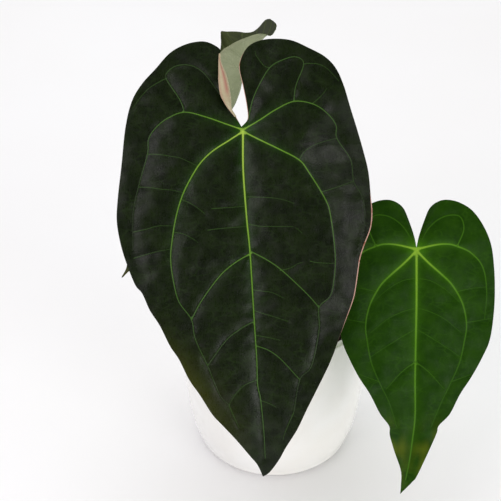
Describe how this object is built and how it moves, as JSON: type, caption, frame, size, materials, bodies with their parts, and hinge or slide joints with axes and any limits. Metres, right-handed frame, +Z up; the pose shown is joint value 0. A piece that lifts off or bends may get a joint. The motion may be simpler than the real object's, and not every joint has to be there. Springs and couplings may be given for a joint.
{
  "type": "potted anthurium hybrid",
  "caption": "Velvet-leaved aroid house plant: heart-shaped dark blades with pale veins on jointed stalks, in bark mix in a round tapered glazed pot.",
  "frame": {"origin": "centre of the pot's flat underside", "axes": "+Z up, along the pot's axis; -Y is the front, which the largest blade faces; +X to the viewer's right"},
  "size_m": [0.2613, 0.2909, 0.327],
  "materials": {
    "glaze": "glossy white glaze",
    "bark": "rough moist bark chips",
    "rootstock": "matt, ringed with leaf scars",
    "dry_sheath": "dry, fibrous, papery",
    "stalk": "smooth, satin",
    "dark_leaf": "satin velvet, quilted, lime veins",
    "bright_leaf": "satin, quilted, lime veins",
    "young_leaf": "soft satin, pale underside"
  },
  "bodies": {
    "root": {"pot": "glaze", "potting_mix": "bark", "stem": "rootstock", "cataphyll_1": "dry_sheath", "cataphyll_2": "dry_sheath", "cataphyll_3": "dry_sheath", "petiole_1": "stalk", "petiole_2": "stalk", "petiole_3": "stalk", "petiole_4": "stalk", "blade_1": "dark_leaf", "blade_2": "bright_leaf", "blade_3": "young_leaf", "blade_4": "dark_leaf"}
  },
  "joints": []
}
